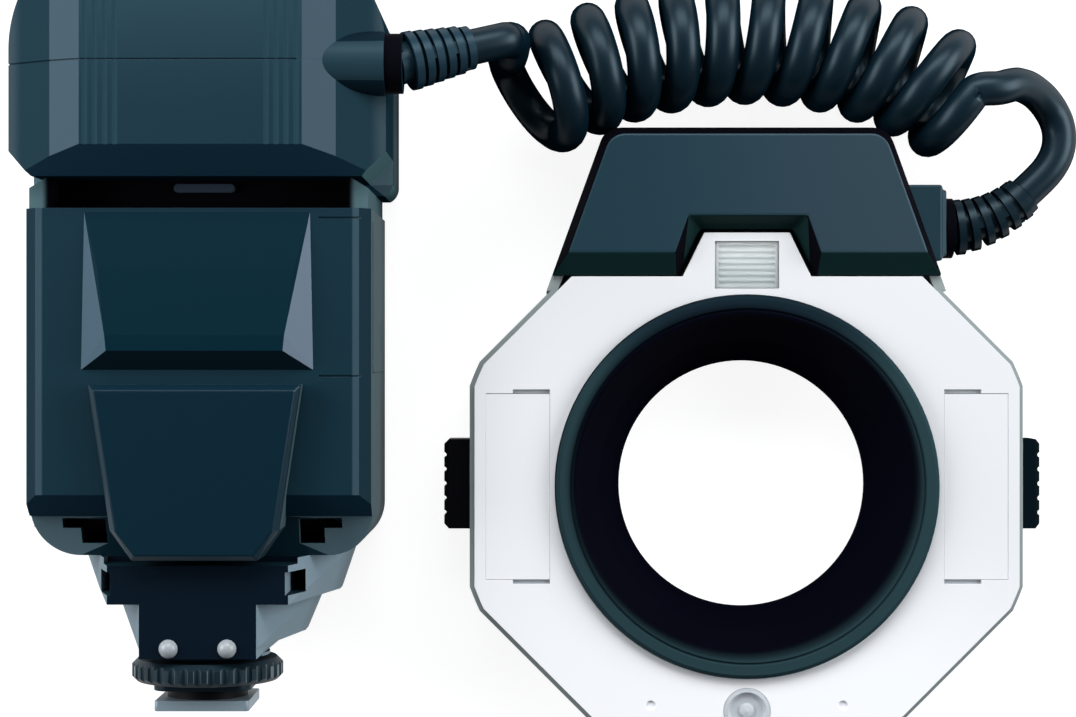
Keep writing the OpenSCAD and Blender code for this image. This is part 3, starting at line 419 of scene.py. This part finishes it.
NOTCH_Z = (22.6, 23.95)
FLAT_TOP = 0.72


def from_middle(centre):
    return abs(centre.x - UNIT_X)


def steep(centre, normal):
    return normal.z < FLAT_TOP


def flat_top(centre, normal):
    return normal.z > FLAT_TOP


def faces_down(centre, normal):
    return normal.y < -0.55 and normal.z > 0


def at_groove(centre, normal):
    return 0.1 < abs(normal.x) < 0.7 and normal.z > 0.6 and from_middle(centre) <= GROOVES_TO


def at_head_facet(centre, normal):
    return 0.3 < abs(normal.x) < 0.5 and normal.z > 0.8 and from_middle(centre) > GROOVES_TO


def at_head_outer(centre, normal):
    return abs(normal.x) >= 0.5 and normal.z > 0.5 and from_middle(centre) > HEAD_OUTER_FROM


def at_head_corner(centre, normal):
    turned = abs(normal.x) > 0.3 and normal.y < -0.3
    return turned and centre.y < HEAD_CORNER_Y and from_middle(centre) > HEAD_CORNER_FROM


def at_head_ledge(centre, normal):
    return centre.z < HEAD_LEDGE_Z and normal.z > 0.3 and from_middle(centre) > HEAD_CORNER_FROM


def at_gland(centre, normal):
    near = abs(centre.y - GLAND_Y) < GLAND_HALF and centre.z > GLAND_Z and centre.x > GLAND_FROM
    return near and abs(normal.x) < 0.1


def at_gland_flank(centre, normal):
    return at_gland(centre, normal) and abs(normal.y) > 0.6


def at_body_edge(centre, normal):
    return abs(normal.x) > 0.6 and normal.z > 0.6 and from_middle(centre) > BODY_EDGE_FROM


def at_body_ledge(centre, normal):
    return centre.y < BODY_LEDGE_Y and normal.z > 0.3 and from_middle(centre) > LEDGE_FROM


def at_plate_facet(centre, normal):
    return abs(normal.x) > 0.3 and normal.z > 0.2


def at_cheek(centre, normal):
    return from_middle(centre) > CHEEK_FROM


def at_tongue(centre, normal):
    return centre.z > TONGUE_Z and from_middle(centre) < TONGUE_HALF


def at_shoe_side(centre, normal):
    return abs(normal.x) > 0.5 and from_middle(centre) > SHOE_SIDE_FROM


def at_nub(centre, normal):
    return centre.z > NUB_Z and math.hypot(from_middle(centre) - NUB_AT[0], centre.y - NUB_AT[1]) < NUB_R


def at_shaded_foot_top(centre, normal):
    return centre.y > FOOT_TOP_Y


def at_wheel_end(centre, normal):
    return abs(normal.x) > 0.85


def at_cell_end(centre, normal):
    return abs(normal.x) > 0.9 or from_middle(centre) > CELL_ENDS_FROM


def at_cover_slope(centre, normal):
    return 0.5 < normal.z < 0.95


def at_cover_wall(centre, normal):
    return normal.z <= 0.5


def at_notch(centre, normal):
    across = NOTCH_X[0] < abs(centre.x) < NOTCH_X[1] and NOTCH_Y[0] < abs(centre.y) < NOTCH_Y[1]
    return across and NOTCH_Z[0] < centre.z < NOTCH_Z[1]


def at_unit_collar(centre, normal):
    return centre.x < UNIT_COLLAR_END and abs(normal.x) < 0.5


def at_ring_collar(centre, normal):
    return centre.x < RING_COLLAR_END


BODY_SHELLS = ["front_shell", "rear_shell", "battery_door"]
HEAD_SHELLS = ["head_lower_shell", "head_upper_shell"]
# Many rows paint light or shade: lit copies on facets, sides, ledges and cheeks, shade on down-facing faces,
# notches and the foot's top, highlights on the tongue and nubs
# A later row covers an earlier one
FACE_LOOKS = [
    (BODY_SHELLS, lit_side_slate, steep),
    (HEAD_SHELLS, lit_head_side, steep),
    (["shoe_base"], matte_slate, steep),
    (["front_shell"], chin_slate, faces_down),
    (["nameplate_panel", "shoe_base"], shade_dark, faces_down),
    (HEAD_SHELLS, lit_head_groove, at_groove),
    (["head_lower_shell"], lit_head_bevel, faces_down),
    (HEAD_SHELLS, lit_head_facet, at_head_facet),
    (HEAD_SHELLS, head_outer_highlight, at_head_outer),
    (HEAD_SHELLS, gland_slate, at_gland),
    (HEAD_SHELLS, shade_dark, at_gland_flank),
    (["front_shell"], matte_slate, at_body_edge),
    (["head_lower_shell"], lit_head_corner, at_head_corner),
    (["head_lower_shell"], lit_ledge_grey, at_head_ledge),
    (["lock_wheel"], wheel_grey, at_wheel_end),
    (["nameplate_panel"], lit_plate_facet, at_plate_facet),
    (["front_shell"], lit_ledge_grey, at_body_ledge),
    (["shoe_base"], shoe_dark, flat_top),
    (["shoe_base"], lit_shoe_side, at_shoe_side),
    (["shoe_base"], nub_glint, at_nub),
    # The foot's top, under the wheel and clamp, is painted black: painted shade
    (["shoe_foot"], black, at_shaded_foot_top),
    (["top_cover"], cover_slope_shade, at_cover_slope),
    (["top_cover"], shade_and_collar_black, at_cover_wall),
    (["front_panel"], notch_shade_grey, at_notch),
    (["aa_cells"], steel, at_cell_end),
    (["neck_block"], lit_neck_cheek, at_cheek),
    (["neck_block"], tongue_highlight, at_tongue),
    (["unit_relief"], shade_and_collar_black, at_unit_collar),
    (["ring_relief"], shade_and_collar_black, at_ring_collar),
]
for names, material, test in FACE_LOOKS:
    for name in names:
        mesh = nodes[name].data
        mesh.materials.append(material)
        slot = len(mesh.materials) - 1
        for face in mesh.polygons:
            if test(face.center / MM, face.normal):
                face.material_index = slot


# Edge rounding on the CAD pieces: modifiers only, so their own vertices stay as in model.glb

EDGE_RADIUS_MM = {"front_shell": 0.35, "rear_shell": 0.35, "head_lower_shell": 0.4, "head_upper_shell": 0.4,
                  "nameplate_panel": 0.4, "af_window": 0.25, "top_cover": 0.4, "shoe_base": 0.3,
                  "front_panel": 0.12, "left_button": 0.3, "right_button": 0.3, "ring_housing": 0.3,
                  "neck_block": 0.3, "side_panel": 0.25, "battery_door": 0.25, "lock_wheel": 0.15,
                  "clamp_plate": 0.2, "shoe_foot": 0.2, "ring_gland": 0.5}
WELD_GAP = 0.00001
FLAT_ANGLE = math.radians(1)
EDGE_ANGLE = math.radians(24)
EDGE_SEGMENTS = 2


def round_edges(obj, radius):
    weld = obj.modifiers.new("weld", "WELD")
    weld.merge_threshold = WELD_GAP
    flat = obj.modifiers.new("flat", "DECIMATE")
    flat.decimate_type = "DISSOLVE"
    flat.angle_limit = FLAT_ANGLE
    flat.delimit = {"MATERIAL"}
    bevel = obj.modifiers.new("edges", "BEVEL")
    bevel.limit_method = "ANGLE"
    bevel.angle_limit = EDGE_ANGLE
    bevel.width = radius
    bevel.segments = EDGE_SEGMENTS
    bevel.use_clamp_overlap = True
    normals = obj.modifiers.new("normals", "WEIGHTED_NORMAL")
    normals.keep_sharp = True


for name, radius_mm in EDGE_RADIUS_MM.items():
    round_edges(nodes[name], radius_mm * MM)


# Curly cord: the route of the CAD cord in mm, drawn smooth

CORD_D = 7
CURL_R = 9.9
CURLS = 11
CURL_START_DEG = 60
CURL_END_DEG = 10
COIL_AXIS = [(-44.9, 78.6, 21.4), (-35.7, 83.3, 19.6), (-26.2, 87.1, 17.9), (-16.2, 89.8, 16.4), (-6, 91.5, 15.1),
             (4.6, 91.8, 14.2), (15.3, 90.7, 13.6), (25.9, 88.1, 13.5), (36.1, 84.1, 13.5), (45.2, 78.6, 13.5)]
LEAD = [(-49, 88.8, 37), (-47.4, 89.2, 32.6)]
TAIL = [(51.4, 81, 22.8), (55.8, 82, 20), (60.2, 80.8, 16), (63.8, 77.8, 13), (65.7, 73.9, 12.2),
        (65.6, 69.4, 12.4)]
RELIEF_DROOP = math.radians(18)
RELIEF_YAW = math.radians(15)
RELIEF_L = 15.2
UNIT_EXIT = Vector((UNIT_X + HEAD_HALF + 2.2, 83, 46))
RELIEF_DIR = Vector((math.cos(RELIEF_DROOP) * math.cos(RELIEF_YAW),
                     math.cos(RELIEF_DROOP) * math.sin(RELIEF_YAW), -math.sin(RELIEF_DROOP)))
UNIT_TIP = UNIT_EXIT + RELIEF_L * RELIEF_DIR
RING_RELIEF_AT = Vector((41.4, 53, 12.6))
RING_BEND = 24
RING_TURN = math.radians(45)
RING_DIR = Vector((math.cos(RING_TURN), math.sin(RING_TURN), 0))
RING_TIP = RING_RELIEF_AT + Vector((RING_BEND * math.sin(RING_TURN), RING_BEND * (1 - math.cos(RING_TURN)), 0))
STEPS_PER_CURL = 40
LEAD_STEPS = 60
TAIL_STEPS = 100
JOIN_STEPS = 5            # steps of the coil that steer the lead's end and the tail's start
TANGENT_STEP = 0.01
LAST_SPAN = 1e-6
CORD_SIDES = 20
FIRST_SIDE = Vector((0.3, 0.2, 1))


def spline(points, t):
    """Catmull-Rom through the points, for t from 0 to 1."""
    last = len(points) - 1
    s = min(t * last, last - LAST_SPAN)
    i = int(s)
    f = s - i
    a, b = Vector(points[max(i - 1, 0)]), Vector(points[i])
    c, d = Vector(points[i + 1]), Vector(points[min(i + 2, last)])
    return 0.5 * (2 * b + (c - a) * f + (2 * a - 5 * b + 4 * c - d) * f * f + (3 * b - a - 3 * c + d) * f ** 3)


def curl_point(t, turn):
    """Point of the coil at a share of its axis and an angle round it."""
    centre = spline(COIL_AXIS, t)
    ahead = spline(COIL_AXIS, min(t + TANGENT_STEP, 1))
    behind = spline(COIL_AXIS, max(t - TANGENT_STEP, 0))
    along = (ahead - behind).normalized()
    side = Vector((0, 0, 1)).cross(along).normalized()
    up = along.cross(side)
    return centre + CURL_R * (math.cos(turn) * up + math.sin(turn) * side)


def smooth_run(points, count):
    return [spline(points, i / count) for i in range(count + 1)]


def cord_route():
    """The whole cord, from the unit's relief to the ring's."""
    total = CURLS * 360 + CURL_END_DEG - CURL_START_DEG
    steps = round(total / 360 * STEPS_PER_CURL)
    coil = [curl_point(i / steps, math.radians(CURL_START_DEG + total * i / steps)) for i in range(steps + 1)]
    lead = [UNIT_TIP, UNIT_TIP + CORD_D * RELIEF_DIR, *LEAD, coil[0], coil[JOIN_STEPS]]
    tail = [coil[-1 - JOIN_STEPS], coil[-1], *TAIL, RING_TIP + CORD_D * RING_DIR, RING_TIP]
    lead_end = round(LEAD_STEPS * (len(lead) - 2) / (len(lead) - 1))
    tail_start = round(TAIL_STEPS / (len(tail) - 1))
    return smooth_run(lead, LEAD_STEPS)[:lead_end] + coil + smooth_run(tail, TAIL_STEPS)[tail_start + 1:]


def tube(name, path, radius, sides):
    """A closed tube with round section, its frame carried from ring to ring."""
    mesh = bpy.data.meshes.new(name)
    rings = bmesh.new()
    side = FIRST_SIDE
    loops = []
    for i, point in enumerate(path):
        along = (path[min(i + 1, len(path) - 1)] - path[max(i - 1, 0)]).normalized()
        side = (side - side.dot(along) * along).normalized()
        other = along.cross(side)
        loops.append([rings.verts.new(point + radius * (math.cos(a) * side + math.sin(a) * other))
                      for a in (2 * math.pi * k / sides for k in range(sides))])
    for low, high in zip(loops, loops[1:]):
        for k in range(sides):
            rings.faces.new((low[k], low[(k + 1) % sides], high[(k + 1) % sides], high[k])).smooth = True
    rings.faces.new(list(reversed(loops[0])))
    rings.faces.new(loops[-1])
    rings.to_mesh(mesh)
    rings.free()
    obj = bpy.data.objects.new(name, mesh)
    scene.collection.objects.link(obj)
    return obj


cord_path = [MM * p for p in cord_route()]
cord = tube("cord", cord_path, CORD_D / 2 * MM, CORD_SIDES)
cord.data.materials.append(rubber)
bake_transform(cord)
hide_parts("curly_cord")


# Release springs, which sit between the ring and the button that rests on them: copies of the CAD springs stand
# in for them

for side in ("left", "right"):
    source = nodes[side + "_springs"]
    coils = bpy.data.objects.new(side + "_coils", source.data.copy())
    coils.matrix_world = source.matrix_world
    scene.collection.objects.link(coils)
    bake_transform(coils)
    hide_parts(side + "_springs")


# Floor

FLOOR_HALF = 6.0
FLOOR_DROP = 0.0002
FLOOR_GREY = (0.25, 0.25, 0.25, 1)
SHADOW_GREY = (0.3, 0.3, 0.3, 1)
FLOOR_GLOW = 0.9


def floor_material():
    """White where the camera, metal and glass see it, with the shadow kept; plain grey to diffuse light."""
    material = bpy.data.materials.new("floor_white")
    material.use_nodes = True
    tree = material.node_tree
    tree.nodes.remove(tree.nodes["Principled BSDF"])
    paths = tree.nodes.new("ShaderNodeLightPath")
    seen = paths.outputs["Is Camera Ray"]
    for name in ("Is Glossy Ray", "Is Transmission Ray"):
        either = tree.nodes.new("ShaderNodeMath")
        either.operation = "MAXIMUM"
        tree.links.new(seen, either.inputs[0])
        tree.links.new(paths.outputs[name], either.inputs[1])
        seen = either.outputs["Value"]
    plain = tree.nodes.new("ShaderNodeBsdfDiffuse")
    plain.inputs["Color"].default_value = FLOOR_GREY
    shadow = tree.nodes.new("ShaderNodeBsdfDiffuse")
    shadow.inputs["Color"].default_value = SHADOW_GREY
    glow = tree.nodes.new("ShaderNodeEmission")
    glow.inputs["Strength"].default_value = FLOOR_GLOW
    both = tree.nodes.new("ShaderNodeAddShader")
    pick = tree.nodes.new("ShaderNodeMixShader")
    tree.links.new(shadow.outputs["BSDF"], both.inputs[0])
    tree.links.new(glow.outputs["Emission"], both.inputs[1])
    tree.links.new(seen, pick.inputs["Fac"])
    tree.links.new(plain.outputs["BSDF"], pick.inputs[1])
    tree.links.new(both.outputs["Shader"], pick.inputs[2])
    tree.links.new(pick.outputs["Shader"], tree.nodes["Material Output"].inputs["Surface"])
    return material


floor_mesh = bpy.data.meshes.new("floor")
floor_mesh.from_pydata([(-FLOOR_HALF, -FLOOR_HALF, 0), (FLOOR_HALF, -FLOOR_HALF, 0), (FLOOR_HALF, FLOOR_HALF, 0),
                        (-FLOOR_HALF, FLOOR_HALF, 0)], [], [(0, 1, 2, 3)])
floor_mesh.materials.append(floor_material())
floor = bpy.data.objects.new("floor", floor_mesh)
floor.location = (0, 0, -FLOOR_DROP)
scene.collection.objects.link(floor)


# Lamps and world

LAMPS_AIM = Vector((-0.04, 0.03, 0.02))
SIDE_WATTS = 4.3
TOP_WATTS = 4.6
WORLD_COLOR = (0.86, 0.93, 1.0, 1.0)
WORLD_STRENGTH = 0.10


def area_lamp(name, at, size, size_y, watts):
    data = bpy.data.lights.new(name, "AREA")
    data.shape = "RECTANGLE"
    data.size = size
    data.size_y = size_y
    data.energy = watts
    lamp = bpy.data.objects.new(name, data)
    lamp.location = at
    lamp.rotation_euler = (LAMPS_AIM - Vector(at)).to_track_quat("-Z", "Y").to_euler()
    scene.collection.objects.link(lamp)


area_lamp("left_box", (-0.66, 0.16, 0.34), 0.5, 0.4, SIDE_WATTS)
area_lamp("right_box", (0.58, 0.16, 0.34), 0.5, 0.4, SIDE_WATTS)
area_lamp("top_box", (-0.04, 0.58, 0.52), 0.8, 0.3, TOP_WATTS)

world = bpy.data.worlds.new("world")
scene.world = world
world.use_nodes = True
background = world.node_tree.nodes["Background"]
background.inputs["Color"].default_value = WORLD_COLOR
background.inputs["Strength"].default_value = WORLD_STRENGTH

scene.view_settings.view_transform = "Standard"
